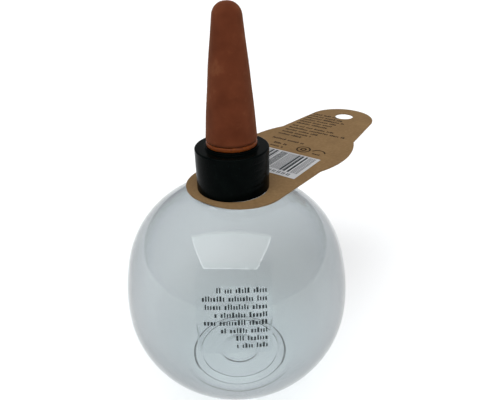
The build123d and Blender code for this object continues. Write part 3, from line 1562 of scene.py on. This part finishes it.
    def build(self) -> None:
        """Dress the card and its panel and print on them."""
        redress(self.nodes, "hang_tag", KraftBoard("Unbleached kraft board"))
        redress(self.nodes, "tag_panel", CoatedPaper("Coated label paper"))
        rng = np.random.default_rng(self.seed)
        brown = PrintInk("Brown offset ink", tones=self.brown, roughness=self.brown_roughness)
        bars = self.print_style.rows(self.card_rows(), rng)
        marks = [self.round_mark(*mark) for mark in self.marks]
        caption = self.caption_style.rows([self.caption], rng)
        ink = printed("tag_print", np.concatenate([bars, *marks, caption]), self.on_card, self.ink)
        finish_piece(ink, brown, Body.TAG, "kraft_card")
        panel = printed(
            "panel_stripes",
            np.concatenate([self.stripes(), self.tally()]),
            lambda x, y, proud: self.on_card(x, y, self.panel_thickness + proud),
            self.ink,
        )
        finish_piece(panel, PrintInk("Black thermal print"), Body.TAG, "panel_paper")


@dataclass
class Studio:
    """Pale floor, soft light and the photograph's camera. Lengths in metres.

    The lamp's middle and half widths are on a ceiling at height one, and its edge and its rim are
    shares of the way from the middle to the side.
    """

    floor_half: float = 4.0
    floor_drop: float = 0.00005
    camera_place: Triple = (0.0, -0.178899, 0.184757)
    forward: Triple = (0.03332188, 0.87646951, -0.48030288)
    camera_up: Triple = (0.04022505, 0.47900427, 0.87689045)
    focal_pixels: float = 479.876
    image_width: float = 500.0
    sensor_mm: float = 36.0
    clip_span: Pair = (0.01, 50.0)
    sky: Tones = ((0.0, "#B3B4B5"), (0.6, "#BDBEBF"))
    sky_strength: float = 1.0
    lamp_middle: Pair = (-0.07, -0.43)
    lamp_turn_degrees: float = 5.5
    lamp_half: Pair = (0.66, 0.5)
    lamp_edge: Pair = (0.99, 1.01)
    lamp_rim: Pair = (0.93, 0.97)
    rim_gain: float = 2.0
    near_strength: float = 7.4
    far_strength: float = 4.4
    far_fade: float = 0.82
    lowest_rise: float = 0.05

    def floor(self) -> None:
        """Lay the floor just under the standing ring."""
        half, z = self.floor_half, -self.floor_drop
        mesh = bpy.data.meshes.new("floor")
        corners = [(-half, -half, z), (half, -half, z), (half, half, z), (-half, half, z)]
        mesh.from_pydata(corners, [], [(0, 1, 2, 3)])
        floor = bpy.data.objects.new("floor", mesh)
        floor.data.materials.append(StudioPaper("Matt studio paper").material())
        bpy.context.scene.collection.objects.link(floor)

    def lamp(self, tree: Tree, x: Socket, y: Socket, z: Socket) -> Socket:
        """Strength of one rectangular soft light overhead, zero beside it.

        On a ceiling at height one the light reaches half a width either way from its middle. The
        larger of the two distances over their half widths is below one inside it. Its rim is
        brighter than its middle, and it gets weaker towards its far side, where it fades out.

        Args:
            tree: the tree that gets the nodes.
            x: output of the direction's first part.
            y: output of its second part.
            z: output of its rise.

        Returns:
            The strength's output.
        """
        rise = reckon(tree, "MAXIMUM", z, self.lowest_rise)
        sides = []
        for value, middle, half in zip((x, y), self.lamp_middle, self.lamp_half):
            place = reckon(tree, "DIVIDE", value, rise)
            span = (middle - half, middle + half)
            sides.append(spread(tree, place, span, (-1.0, 1.0), clamp=False))
        reach = reckon(tree, "MAXIMUM", *[reckon(tree, "ABSOLUTE", side) for side in sides])
        strength = spread(tree, reach, self.lamp_edge, (1.0, 0.0))
        for source, span, result in (
            (reach, self.lamp_rim, (1.0, self.rim_gain)),
            (sides[1], (-1.0, 1.0), (self.near_strength, self.far_strength)),
            (sides[1], (self.far_fade, 1.0), (1.0, 0.0)),
        ):
            strength = reckon(tree, "MULTIPLY", strength, spread(tree, source, span, result))
        return strength

    def dome(self) -> None:
        """Even grey surroundings with the light overhead."""
        world = bpy.data.worlds.new("soft studio")
        world.use_nodes = True
        tree = world.node_tree
        tree.nodes.clear()
        direction = add_node(tree, "ShaderNodeTexCoord").outputs["Generated"]
        turned = add_node(
            tree,
            "ShaderNodeVectorRotate",
            {"Angle": math.radians(self.lamp_turn_degrees)},
            {"Vector": direction},
            rotation_type="Z_AXIS",
        )
        x, y, z = add_node(tree, "ShaderNodeSeparateXYZ", links={0: turned.outputs[0]}).outputs
        sky = add_ramp(tree, z, self.sky)
        strength = reckon(tree, "ADD", self.lamp(tree, x, y, z), self.sky_strength)
        links = {"Color": sky, "Strength": strength}
        background = add_node(tree, "ShaderNodeBackground", links=links)
        add_node(tree, "ShaderNodeOutputWorld", links={"Surface": background.outputs[0]})
        bpy.context.scene.world = world

    def camera(self) -> None:
        """Stand the camera where the photograph was taken from."""
        data = bpy.data.cameras.new("camera")
        data.sensor_width = self.sensor_mm
        data.sensor_fit = "HORIZONTAL"
        data.lens = self.focal_pixels * self.sensor_mm / self.image_width
        data.clip_start, data.clip_end = self.clip_span
        camera = bpy.data.objects.new("camera", data)
        back, up = -Vector(self.forward).normalized(), Vector(self.camera_up).normalized()
        side = up.cross(back).normalized()
        turned = Matrix((side, back.cross(side), back)).transposed().to_4x4()
        camera.matrix_world = Matrix.Translation(self.camera_place) @ turned
        bpy.context.scene.collection.objects.link(camera)
        bpy.context.scene.camera = camera

    def build(self) -> None:
        """Set the stage."""
        self.floor()
        self.dome()
        self.camera()
        bpy.context.scene.view_settings.view_transform = "Standard"


def in_mm(node: str) -> tuple[Vector, Vector]:
    """Lowest and highest corner of a frame node in millimetres."""
    low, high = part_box(node)
    return low / MM, high / MM


def main() -> None:
    """Load the frame and build every sub-assembly in order."""
    logging.basicConfig(level=logging.INFO, format="%(name)s %(message)s")
    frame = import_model()
    globe, cap, gasket = in_mm("globe_bottle"), in_mm("screw_cap"), in_mm("neck_gasket")
    seal, cone, card = in_mm("cone_seal_ring"), in_mm("terracotta_cone"), in_mm("hang_tag")
    bottle = Bottle(globe_radius=globe[1].x, rim_height=globe[1].z)
    bottle.build()
    Label(bottle).build()
    closure = Closure(
        radius=cap[1].x,
        foot=cap[0].z,
        boss_top=cap[1].z,
        bottle=bottle,
        gasket=(gasket[1].x, gasket[0].z, gasket[1].z),
        seal=(seal[1].x, seal[1].z),
    )
    closure.build()
    Cone(tip=cone[1].z, spigot_bottom=cone[0].z, closure=closure).build()
    Tag(top=card[1].z, nodes=frame["nodes"]).build()
    Studio().build()


if __name__ == "__main__":
    main()
